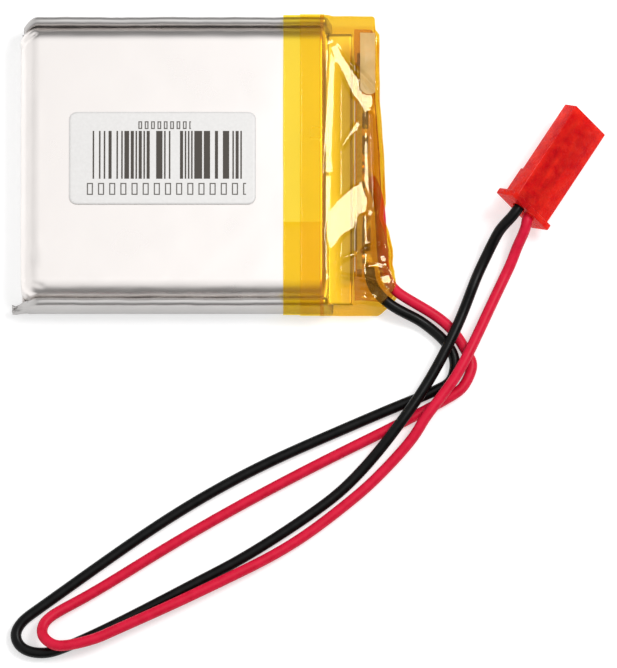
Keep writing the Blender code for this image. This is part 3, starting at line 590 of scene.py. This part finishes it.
def make_materials():
    laminate("laminate", (0.885, 0.842, 0.818), 0.30)
    laminate("laminate_back", (0.86, 0.85, 0.84), 0.34)
    laminate("flange_film", (0.98, 0.93, 0.90), 0.42)
    # The seams' film is a darker grey copy of the face's laminate: painted shade standing in for the dim
    # surroundings that the folded seams reflect.
    laminate("seam_film", (0.53, 0.515, 0.505), 0.40)
    tape("amber_tape", (0.995, 0.94, 0.49), (1.0, 0.34, 0.0), 0.045, 0.4)
    tape("outer_tape", (0.999, 0.97, 0.70), (1.0, 0.34, 0.0), 0.045, 0.4)
    tape("header_tape", (0.968, 0.872, 0.42), (1.0, 0.50, 0.0), 0.085, 0.5, roughness=0.05)
    # The inner turn's film has a darker tint and browner haze than the header tape's: painted shade of the
    # gap over the board.
    tape("folded_tape_painted_shade", (0.87, 0.68, 0.38), (0.55, 0.17, 0.0), 0.06, 0.5, roughness=0.12)
    tape("dull_tape", (0.93, 0.80, 0.60), (0.84, 0.58, 0.22), 0.66, 0.3, roughness=0.35, ior=1.45)
    insulation("red_silicone", (0.58, 0.005, 0.031), (0.68, 0.009, 0.045), 0.36, 0.16)
    insulation("black_silicone", (0.0015, 0.0015, 0.0015), (0.004, 0.004, 0.004), 0.26, 0.14)
    translucent_plastic("red_plastic", (1.0, 0.14, 0.08), (0.60, 0.006, 0.012), (0.86, 0.035, 0.018), 0.5)
    label_print("label", (0.045, 0.036, 0.027), (0.725, 0.712, 0.70), (0.765, 0.752, 0.74))
    board_mask(
        "board", (0.010, 0.045, 0.02), (0.014, 0.06, 0.026), (0.02, 0.10, 0.045),
        (0.34, 0.22, 0.07), (0.46, 0.31, 0.11),
    )
    patterned("anode", (0.05, 0.045, 0.045), (0.09, 0.085, 0.08), 0.4, 0.62)
    patterned("cathode", (0.025, 0.025, 0.028), (0.05, 0.05, 0.055), 0.5, 0.6)
    patterned("separator", (0.84, 0.84, 0.81), (0.92, 0.92, 0.9), 1.2, 0.5, depth=0.005)
    patterned("stack_tape", (0.06, 0.26, 0.14), (0.09, 0.33, 0.18), 1.5, 0.28, depth=0.005)
    rolled = {"metallic": 1.0, "depth": 0.006, "stretch": (6, 0.5, 6)}
    patterned("aluminium", (0.74, 0.74, 0.74), (0.84, 0.84, 0.84), 1.0, 0.34, **rolled)
    patterned("copper", (0.66, 0.36, 0.22), (0.80, 0.47, 0.32), 1.0, 0.34, **rolled)
    patterned("nickel", (0.58, 0.54, 0.48), (0.72, 0.68, 0.62), 1.0, 0.28, **rolled)
    patterned("sealant", (0.74, 0.72, 0.64), (0.86, 0.84, 0.76), 1.4, 0.4)
    patterned("paper", (0.47, 0.35, 0.20), (0.63, 0.49, 0.31), 0.5, 0.82, depth=0.02, stretch=(4, 0.8, 4))
    patterned("chip", (0.012, 0.012, 0.013), (0.03, 0.03, 0.032), 0.18, 0.5, depth=0.012)
    patterned("ceramic", (0.44, 0.33, 0.22), (0.6, 0.48, 0.35), 0.3, 0.5)
    patterned("solder", (0.56, 0.56, 0.57), (0.76, 0.76, 0.78), 0.7, 0.2, metallic=1.0, depth=0.05)
    twisted = {"metallic": 1.0, "depth": 0.02, "stretch": (3, 9, 9)}
    patterned("tinned_copper", (0.58, 0.54, 0.48), (0.78, 0.75, 0.7), 1.0, 0.3, **twisted)
    patterned("contact", (0.68, 0.49, 0.2), (0.84, 0.66, 0.34), 0.8, 0.25, metallic=1.0)


# Cords


def make_lead(name, route, slot):
    """The whole lead as one smooth tube, from its joint on the board into the plug."""
    points = smooth_curve(route) * MM
    data = bpy.data.curves.new(name, "CURVE")
    data.dimensions = "3D"
    spline = data.splines.new("POLY")
    spline.points.add(len(points) - 1)
    spline.points.foreach_set("co", np.column_stack([points, np.ones(len(points))]).ravel())
    data.bevel_depth = LEAD_DIAMETER / 2 * MM
    data.bevel_resolution = 6
    data.use_fill_caps = True
    data.materials.append(MATERIALS[slot])
    lead = new_object(f"{name}_insulation", data)
    settle(lead, name)


# Camera, light and floor


def stand_off(obj, target, away, distance):
    """Puts a camera or a light some way from its target, looking back at it."""
    obj.location = target + away * distance
    obj.rotation_mode = "QUATERNION"
    obj.rotation_quaternion = away.to_track_quat("Z", "Y")


def make_camera():
    """A long lens, looking down on the pack from its front side."""
    data = bpy.data.cameras.new("camera")
    data.lens = data.sensor_width / 2 / math.tan(CAMERA_FIELD / 2)
    data.clip_start, data.clip_end = 0.01, 20.0
    camera = new_object("camera", data)
    away = Vector((0, -math.cos(CAMERA_ELEVATION), math.sin(CAMERA_ELEVATION)))
    stand_off(camera, Vector(CAMERA_TARGET) * MM, away, VIEW_HEIGHT / 2 / math.tan(CAMERA_FIELD / 2) * MM)
    bpy.context.scene.camera = camera


def make_world():
    """A light tent: bright overhead and to the folded end's side, and dim round the rest of the horizon."""
    world = bpy.data.worlds.new("tent")
    bpy.context.scene.world = world
    world.use_nodes = True
    graph = Graph(world.node_tree)
    ways = graph.split(graph.add("ShaderNodeTexCoord").outputs["Generated"])
    folded_side = {"Value": ways[0], "From Min": -0.35, "From Max": -0.75}
    side = graph.add("ShaderNodeMapRange", folded_side).outputs["Result"]
    light = graph.mix(side, graph.ramp(ways[2], *SKY), (1.0, 1.0, 1.0))
    graph.put(light, graph.tree.nodes["Background"].inputs["Color"])


def make_softbox(name, azimuth, elevation, distance, size, radiance):
    """A square light aimed at the pack. Azimuth is measured from +X towards +Y, in degrees."""
    a, e = math.radians(azimuth), math.radians(elevation)
    data = bpy.data.lights.new(name, "AREA")
    data.size = size
    data.energy = radiance * math.pi * size * size
    away = Vector((math.cos(a) * math.cos(e), math.sin(a) * math.cos(e), math.sin(e)))
    stand_off(new_object(name, data), Vector(), away, distance)


def make_floor():
    """A white card, a little below the leads and the pouch so that no two faces share a plane."""
    data = bpy.data.meshes.new("floor")
    mesh = bmesh.new()
    bmesh.ops.create_grid(mesh, x_segments=1, y_segments=1, size=FLOOR_HALF * MM)
    mesh.to_mesh(data)
    mesh.free()
    floor = new_object("floor", data)
    floor.location.z = FLOOR_Z * MM
    shader = Shader("white_card")
    shader.set(
        Base_Color=(0.62, 0.62, 0.62), Roughness=0.9, Emission_Color=(1.0, 1.0, 1.0), Emission_Strength=0.5,
    )
    data.materials.append(MATERIALS["white_card"])


# Pouch


def pouch_detail(points):
    """How far the pouch's surface stands off its plain shape: a slight crown, dents and corner creases."""
    share = np.clip(1 - ((points[:, :2] - FACE_CENTRE) / FACE_HALF) ** 2, 0, 1)
    crown = 0.05 * share[:, 0] * share[:, 1]
    dents = 0.025 * wave(points, 14.0, 1) + 0.01 * wave(points, 4.5, 2)
    edge = 1 - smooth_step(np.minimum(share[:, 0], share[:, 1]), 0.05, 0.3)
    ripple = 0.05 * edge * wave(points * [1, 1, 2], 2.2, 3)
    return crown + dents + ripple + crease_height(points, POUCH_CREASES)


def make_pouch_cup():
    """The drawn cup: broad rounded shoulders, a tighter one at the header, and sharp lower edges."""
    low, node_high = corners("pouch_cup")
    high = np.array([CUP_END, node_high[1], node_high[2] - 0.05])
    points, faces = box_sheets(
        low, high, ("+z", "+x", "-x", "+y", "-y"), edge=4.5, fine=0.28, coarse=1.1,
    )
    shaped = rounded(points, low + [SHOULDER, SHOULDER, -math.inf], high - SHOULDER, SHOULDER)
    outward = points - np.clip(points, low + SHOULDER, high - SHOULDER)
    outward /= np.maximum(np.linalg.norm(outward, axis=1, keepdims=True), TINY)
    shaped += outward * pouch_detail(shaped)[:, None]
    shaped[:, 2] = np.minimum(shaped[:, 2], node_high[2] + 0.02)
    shoulder_start = (CUP_END - SHOULDER, CUP_END - END_SHOULDER)
    tighter = [(-FAR, -FAR), (0.0, 0.0), shoulder_start, (CUP_END, CUP_END), (FAR, FAR)]
    shaped[:, 0] = read_off(shaped[:, 0], tighter)
    cup = make_film("pouch_cup_skin", shaped, faces, "laminate", CUP_FILM)
    settle(cup, "pouch_cup")


def make_header_flange():
    """The sealed header flange, from the foot of the cup to the board."""
    half = corners("pouch_cup")[1][1] - 0.1
    x = np.arange(FLANGE_START, FLANGE_END, 0.3)
    y = np.linspace(-half, half, 90)
    points = flat_grid(x, y)
    points[:, 2] = FLANGE_TOP + 0.04 * wave(points, 5.0, 4) + 0.02 * wave(points, 1.5, 5)
    flange = make_film("header_flange", points, grid_faces(len(x), len(y)), "flange_film", FLAT_FILM)
    settle(flange)


def make_pouch_base():
    """The flat back, curled up along the folded end and stepped in under the tape."""
    low, high = corners("pouch_base")
    x = fine_at_ends(low[0], high[0], edge=1.6, fine=0.12, coarse=0.9)
    y = fine_at_ends(low[1], high[1], edge=1.5, fine=0.25, coarse=1.2)
    points = flat_grid(x, y)
    curl = 0.45 * (1 - smooth_step(points[:, 0], low[0], low[0] + 1.4))
    step = 0.27 * smooth_step(points[:, 0], FIRST_TAPE_START - 0.7, FIRST_TAPE_START - 0.2)
    sag = 0.03 * (wave(points, 6.0, 5) + 1)
    points[:, 2] = curl + step + sag
    base = make_film("pouch_back", points, grid_faces(len(x), len(y)), "laminate_back", FLAT_FILM, 1.0)
    settle(base, "pouch_base")


def seam_section(top):
    """The seam's outline in Y and Z: from its foot up its outer face, over the fold and down inside."""
    fold = (SEAM_OUTER - SEAM_INNER) / 2
    foot = [
        (SEAM_INNER + 0.05, SEAM_FOOT + 0.05), (SEAM_INNER + 0.4, SEAM_FOOT),
        (SEAM_OUTER - 0.2, SEAM_FOOT + 0.02), (SEAM_OUTER, SEAM_FOOT + 0.3),
    ]
    outer = [(SEAM_OUTER, z) for z in np.linspace(1.2, top - fold - 0.3, 8)]
    bend = [
        (SEAM_INNER + fold + fold * math.cos(a), top - fold + fold * math.sin(a))
        for a in np.linspace(0, math.pi, 9)
    ]
    inner = [(SEAM_INNER, z) for z in np.linspace(top - fold - 0.5, 1.6, 5)]
    return np.array([*foot, *outer, *bend, *inner])


def make_seam(node, side, top):
    """A folded side seam: double film that stands against the wall, ripples and dips under the header tape.

    The front one's free end is a crimped ear, and the rear one's is laid in round the corner.
    """
    start = corners(node)[0][0] + 0.15
    stations = np.arange(start, SEAM_END, 0.35)
    section = seam_section(top)
    points = swept(stations, section)
    x, z = points[:, 0].copy(), points[:, 2].copy()
    height = smooth_step(z, 0.6, top)
    ear = (1 - smooth_step(x, start, EAR_END)) * (side < 0)
    ripple = 0.09 * wave(points * [1, 1, 0.4], 3.4, 6 + side) + 0.04 * wave(points, 1.2, 8 + side)
    points[:, 1] += height * ripple - 0.04
    points[:, 2] += height * (0.14 * wave(points * [1, 0, 0], 7.0, 9) - 0.8 * ear * (z - SEAM_FOOT))
    crumple = 0.7 * ear
    points[:, 1] += 0.45 * ear * (SEAM_OUTER - points[:, 1]) + crumple * wave(points, 1.0, 10)
    points[:, 2] += crumple * (wave(points, 0.7, 11) + 0.3)
    tucked = smooth_step(x, SEAM_TUCK_START, SEAM_TUCK_END) * (1 - TUCKED_TOP / top)
    points[:, 2] -= tucked * (points[:, 2] - SEAM_FOOT)
    laid = np.clip((LAID_CORNER_START - x) / LAID_CORNER_LENGTH, 0, 1) ** 2 * (side > 0)
    points[:, 1] -= 2.0 * laid
    points[:, 2] -= 3.0 * laid * height
    points[:, 1] = np.minimum(points[:, 1], SEAM_OUTER + 0.05) * side
    points[:, 2] = np.maximum(points[:, 2], 0.32)
    faces = grid_faces(len(stations), len(section))
    # The seam film's darker grey is painted shade.
    seam = make_film(f"{node}_fold", points, faces, "seam_film", SEAM_FILM, 0.0)
    settle(seam, node)


def make_label():
    """The label, with rounded corners, following the pouch's face just above it."""
    low, high = corners("label")
    centre, half = (low + high)[:2] / 2, (high - low)[:2] / 2
    x = np.linspace(-half[0], half[0], 70)
    y = np.linspace(-half[1], half[1], 40)
    points = flat_grid(x, y)[:, :2]
    core = np.clip(points, LABEL_CORNER - half, half - LABEL_CORNER)
    out = points - core
    reach = np.maximum(np.abs(out).max(axis=1), TINY)
    length = np.maximum(np.linalg.norm(out, axis=1), TINY)
    points = core + out * np.minimum(reach / length, 1.0)[:, None]
    points = np.column_stack([points + centre, np.full(len(points), low[2])])
    points[:, 2] += 0.02 + np.maximum(0, pouch_detail(points) - 0.02)
    label = make_film("label_film", points, grid_faces(len(x), len(y)), "label", LABEL_FILM, 1.0)
    settle(label, "label")


# Tape


def edge_fall(y):
    """How far tape has come down from the top face on its way to the pouch's side walls."""
    return read_off(y, EDGE_FALL)


def belt_section(depth, side):
    """Half a belt's outer face, from the middle of the top to the middle of the underside, in Y and Z."""
    high, half = TAPE_TOP - depth, TAPE_HALF - depth
    across = [*np.linspace(0, 18, 20), *np.arange(19.4, 24.9, 0.45)]
    top = [(y, high - float(edge_fall(side * y))) for y in across]
    end = high - float(edge_fall(side * (TAPE_HALF - TAPE)))
    wall = [(half, z) for z in np.linspace(end - 0.1, 0.8, 9)]
    foot = [(half - 0.08, 0.25 + depth), (half - 0.4, depth)]
    under = [(y, depth) for y in np.linspace(24.0, 0, 20)]
    return [*top, *wall, *foot, *under]


def make_belt(name, node, material, start, end, depth, seed):
    """One turn of tape, slightly rippled where it bridges the seams."""
    front = [(-y, z) for y, z in belt_section(depth, -1)[1:-1]]
    section = [*belt_section(depth, 1), *front[::-1]]
    stations = np.linspace(start, end, max(8, round((end - start) / 0.35)))
    points = swept(stations, section)
    wobble = wave(points * [0.6, 1, 1], 3.2, seed)
    slope = smooth_step(np.abs(points[:, 1]), 19.0, 21.5) * smooth_step(points[:, 2], 1.0, 3.0)
    points[:, 2] += slope * 0.07 * wobble
    outward = np.sign(points[:, 1]) * smooth_step(np.abs(points[:, 1]), 24.0, 24.8)
    points[:, 1] -= outward * 0.05 * (wobble + 1) * smooth_step(points[:, 2], 0.5, 1.5)
    edge = np.minimum(np.abs(points[:, 0] - start), np.abs(points[:, 0] - end))
    points[:, 0] += 0.05 * wave(points, 4.0, seed + 1) * (edge < 0.2)
    faces = grid_faces(len(stations), len(section), loop=True)
    belt = make_film(name, points, faces, material, TAPE)
    settle(belt, node)


def make_tape_overlap():
    """Where the first belt's end laps over its start: one more layer, down the front side."""
    half = belt_section(OVERLAP_DEPTH, -1)
    section = np.array([(-y, z - 0.01) for y, z in half if y > -OVERLAP_Y and z > 1.0])
    section[0, 0] = OVERLAP_Y
    stations = np.linspace(FIRST_TAPE_START + 0.05, TAPE_END, 20)
    faces = grid_faces(len(stations), len(section))
    lap = make_film("tape_overlap", swept(stations, section), faces, "outer_tape", 0.04)
    settle(lap)


def header_top(points):
    """Height of the header tape's upper side: down off the pouch's shoulder, slack, up over the board."""
    x, y = points[:, 0], points[:, 1]
    tight = smooth_step(y, 14.0, 21.0)
    top = read_off(x, SLACK_HEIGHT) * (1 - tight) + read_off(x, TAUT_HEIGHT) * tight
    crumple = 0.17 * wave(points * [1, 0.7, 0], 3.6, 12) + 0.05 * wave(points * [1, 1, 0], 1.5, 13)
    loose = smooth_step(x, 20.2, 21.6) * (1 - 0.6 * tight)
    top += (crease_height(points, HEADER_CREASES) + crumple) * loose
    for outline, (px, py, pz), (slope_x, slope_y) in FACETS:
        flat = pz + slope_x * (x - px) + slope_y * (y - py)
        share = inside(points, outline, FACET_EDGE)
        top = top * (1 - share) + flat * share
    return top


def make_header_tape():
    """Crumpled film over the header, open at the belts and at the leads' mouth."""
    low, high = HEADER_LOW, HEADER_HIGH
    points, faces = box_sheets(
        low, high, ("+z", "-z", "+x", "+y", "-y"), edge=1.6, fine=0.14, coarse=0.2,
    )
    core_low = low + [-math.inf, HEADER_ROUNDING, HEADER_ROUNDING]
    shaped = rounded(points, core_low, high - HEADER_ROUNDING, HEADER_ROUNDING)
    share = (shaped - low) / (high - low)
    x_share, z_share = share[:, 0], share[:, 2]
    reach = read_off(shaped[:, 1], HEADER_REACH)
    shaped[:, 0] = low[0] + x_share * (reach - low[0])
    top = header_top(shaped) - edge_fall(shaped[:, 1])
    shaped[:, 2] = low[2] + z_share * (top - low[2])
    outer = smooth_step(shaped[:, 0], reach - 1.6, reach) * smooth_step(z_share, 0.1, 0.4) * (1 - z_share**4)
    shaped[:, 0] += outer * (0.3 * wave(shaped * [0, 1, 0.8], 4.0, 14) - 0.35 * (1 - z_share))
    loose = smooth_step(shaped[:, 0], 20.4, 21.8) * smooth_step(z_share, 0.15, 0.8)
    side = np.sign(shaped[:, 1]) * smooth_step(np.abs(shaped[:, 1]), 24.0, 24.7)
    shaped[:, 1] -= side * loose * 0.15 * (wave(shaped, 3.0, 15) + 1)
    x, y, z = np.array([shaped[list(face)].mean(axis=0) for face in faces]).T
    mouth = np.maximum(np.abs(y - MOUTH_Y) / MOUTH_HALF_WIDTH, np.abs(z - MOUTH_Z) / MOUTH_HALF_HEIGHT) < 1
    faces = [face for face, gone in zip(faces, mouth & (x > MOUTH_START)) if not gone]
    film = make_film("header_tape_film", shaped, faces, "header_tape", TAPE)
    settle(film, "header_tape")


def make_header_fold():
    """The header film's inner turn: loose over the board and tucked down its outer face."""
    share = np.linspace(0, 1, 60)
    across = np.arange(-23.6, 22.4, 0.22)
    points = flat_grid(share, across)
    along, y = points[:, 0].copy(), points[:, 1]
    reach = read_off(y, HEADER_REACH) - 0.75
    start = TURN_START + 0.5 * wave(points * [0, 1, 0], 5.0, 30)
    points[:, 0] = start + (reach - start) * np.clip(along / TURN_DOWN, 0, 1)
    top = header_top(points) - 0.45 - edge_fall(y)
    drop = np.clip((along - TURN_DOWN) / (1 - TURN_DOWN), 0, 1)
    points[:, 2] = top + (1.0 - top) * drop
    points[:, 2] += 0.18 * (1 - drop) * wave(points * [1, 1, 0], 1.9, 31)
    points[:, 0] += 0.25 * drop * wave(points * [0, 1, 1], 1.9, 32) - 0.5 * drop * (1 - drop)
    faces = grid_faces(len(share), len(across))
    # Its darker tint and browner haze are painted shade of the gap over the board.
    fold = make_film("header_tape_fold", points, faces, "folded_tape_painted_shade", TAPE)
    settle(fold)


def make_header_flap():
    """The header film's loose end, turned back on itself over the board's rear end."""
    x = np.linspace(*FLAP_X, 26)
    y = np.linspace(*FLAP_Y, 80)
    points = flat_grid(x, y)
    tongue = 1 - smooth_step(points[:, 1], FLAP_Y[0], FLAP_Y[0] + 1.7)
    points[:, 1] += tongue * 0.9 * ((points[:, 0] - 27.4) / 1.4) ** 2
    points[:, 2] = header_top(points) + 0.24 + 0.03 * wave(points, 1.5, 33)
    flap = make_film("header_tape_flap", points, grid_faces(len(x), len(y)), "dull_tape", TAPE, 1.0)
    settle(flap)


# Plug


def plug_matrix():
    """From the plug's own millimetres to the row frame: X back from its tip, Y inwards, Z across it."""
    forward = Vector((
        math.cos(PLUG_PITCH) * math.sin(PLUG_YAW), math.cos(PLUG_PITCH) * math.cos(PLUG_YAW),
        -math.sin(PLUG_PITCH),
    ))
    level = Vector((math.cos(PLUG_YAW), -math.sin(PLUG_YAW), 0.0))
    up = level.cross(forward)
    across = math.cos(PLUG_ROLL) * level - math.sin(PLUG_ROLL) * up
    inward = -math.sin(PLUG_ROLL) * level - math.cos(PLUG_ROLL) * up
    turn = Matrix((-forward, inward, across)).transposed().to_4x4()
    return Matrix.Translation(Vector(PLUG_TIP) * MM) @ turn


def plug_object(name, mesh):
    mesh.transform(plug_matrix())
    data = bpy.data.meshes.new(name)
    mesh.to_mesh(data)
    mesh.free()
    return new_object(name, data)


def plug_part(name, low, high, bevel=0.0):
    """A box in the plug's frame. bevel rounds its edges."""
    mesh = bmesh.new()
    bmesh.ops.create_cube(mesh, size=1.0)
    low, high = Vector(low) * MM, Vector(high) * MM
    for vert in mesh.verts:
        vert.co = Vector(c * s for c, s in zip(vert.co, high - low)) + (low + high) / 2
    if bevel:
        bmesh.ops.bevel(
            mesh, geom=mesh.edges[:], offset=bevel * MM, segments=3, profile=0.5, affect="EDGES",
        )
    return plug_object(name, mesh)


def plug_bore(name, start, end, diameter, across):
    """A cylinder along the plug, at a contact's depth and some way across."""
    mesh = bmesh.new()
    turn = Matrix.Rotation(math.radians(90), 4, "Y")
    middle = Vector(((start + end) / 2, CONTACT_DEPTH, across)) * MM
    bmesh.ops.create_cone(
        mesh, cap_ends=True, segments=40, radius1=diameter / 2 * MM, radius2=diameter / 2 * MM,
        depth=(end - start) * MM, matrix=Matrix.Translation(middle) @ turn,
    )
    return plug_object(name, mesh)


def combine(target, others, operation):
    """Joins or cuts target with others, applies it and removes them."""
    for other in others:
        modifier = target.modifiers.new(operation, "BOOLEAN")
        modifier.operation = operation
        modifier.object = other
        modifier.solver = "EXACT"
    depsgraph = bpy.context.evaluated_depsgraph_get()
    made = bpy.data.meshes.new_from_object(target.evaluated_get(depsgraph))
    target.modifiers.clear()
    target.data = made
    for other in others:
        bpy.data.objects.remove(other, do_unlink=True)


def plug_outside():
    """The housing's body with its flange, latch block and two ribs joined on."""
    width, height, length = PLUG_WIDTH, PLUG_HEIGHT, PLUG_LENGTH
    housing = plug_part("plug_body", (0, 0, 0), (length - 0.3, height, width), 0.16)
    flange = plug_part(
        "flange", (length - PLUG_FLANGE, -0.12, -FLANGE_REACH),
        (length, height + 1.25, width + FLANGE_REACH), 0.2,
    )
    latch = plug_part(
        "latch", (length - LATCH_LENGTH, height - 0.4, LATCH_INSET),
        (length - 0.4, height + LATCH_HEIGHT, width - LATCH_INSET), 0.2,
    )
    ribs = [
        plug_part(
            f"rib_{k}", (RIB_START, height - 0.3, z - RIB_HALF),
            (RIB_END, height + 0.16, z + RIB_HALF), 0.08,
        )
        for k, z in enumerate((RIB_INSET, width - RIB_INSET))
    ]
    combine(housing, [flange, latch, *ribs], "UNION")
    return housing


def plug_cutters():
    """The mating cavity, and for each contact its pocket, lead mouth and lock window."""
    width, height, length = PLUG_WIDTH, PLUG_HEIGHT, PLUG_LENGTH
    wall = CAVITY_WALL
    cutters = [
        plug_part("cavity", (-OVERRUN, wall, wall), (CAVITY_DEPTH, height - wall, width - wall), 0.12),
    ]
    for k, side in enumerate((-1, 1)):
        across = width / 2 + side * CONTACT_PITCH / 2
        cutters += [
            plug_bore(f"pocket_{k}", POCKET_START, length, POCKET_DIAMETER, across),
            plug_bore(f"mouth_{k}", length - MOUTH_DEPTH, length + OVERRUN, MOUTH_DIAMETER, across),
            plug_part(
                f"window_{k}", (WINDOW_START, height - 0.9, across - WINDOW_HALF),
                (WINDOW_END, height + OVERRUN, across + WINDOW_HALF),
            ),
        ]
    return cutters


def make_plug():
    """The housing in clear red plastic, hollowed for its contacts and leads."""
    housing = plug_outside()
    combine(housing, plug_cutters(), "DIFFERENCE")
    housing.data.materials.clear()
    housing.data.materials.append(MATERIALS["red_plastic"])
    housing.data.shade_smooth()
    housing.data.set_sharp_from_angle(angle=math.radians(32))
    settle(housing, "plug_housing")
    return housing


# Everything inside


NODE_MATERIALS = {
    **{f"anode_plate_{k}": "anode" for k in range(1, 8)},
    **{f"cathode_plate_{k}": "cathode" for k in range(1, 7)},
    "separator": "separator", "stack_tape": "stack_tape",
    "positive_foil_weld": "aluminium", "negative_foil_weld": "copper",
    "positive_tab": "aluminium", "negative_tab": "nickel",
    "positive_tab_sealant": "sealant", "negative_tab_sealant": "sealant",
    "protection_board": "board", "board_insulator": "paper",
    "dual_mosfet": "chip", "protection_chip": "chip", "resistor_1": "chip", "resistor_2": "chip",
    "capacitor": "ceramic", "nickel_strip_positive": "nickel", "nickel_strip_negative": "nickel",
    "solder_joint_red": "solder", "solder_joint_black": "solder",
    "red_core": "tinned_copper", "black_core": "tinned_copper",
    "contact_red": "contact", "contact_black": "contact",
}


def dress_nodes():
    """Materials for the CAD nodes that stay."""
    for node, material in NODE_MATERIALS.items():
        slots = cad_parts[node].data.materials
        slots.clear()
        slots.append(MATERIALS[material])


def main():
    make_materials()
    make_camera()
    plug = make_plug()
    make_lead("black_lead", BLACK_ROUTE, "black_silicone")
    make_lead("red_lead", RED_ROUTE, "red_silicone")
    make_world()
    make_softbox("key", azimuth=20, elevation=58, distance=0.6, size=0.20, radiance=16.0)
    make_floor()
    dress_nodes()
    make_pouch_cup()
    make_header_flange()
    make_pouch_base()
    make_seam("side_seam_front", side=-1, top=FRONT_SEAM_TOP)
    make_seam("side_seam_rear", side=1, top=REAR_SEAM_TOP)
    make_label()
    make_belt(
        "tape_belt_first", "tape_belt_inner", "amber_tape",
        start=FIRST_TAPE_START, end=TAPE_END + 0.1, depth=FIRST_TAPE_DEPTH, seed=20,
    )
    make_belt(
        "tape_belt_second", "tape_belt_outer", "outer_tape",
        start=SECOND_TAPE_START, end=TAPE_END + 0.2, depth=0.0, seed=24,
    )
    make_tape_overlap()
    make_header_tape()
    make_header_fold()
    make_header_flap()
    bpy.context.scene.view_settings.view_transform = "Standard"
    bpy.context.scene.cycles.transparent_max_bounces = 32


main()
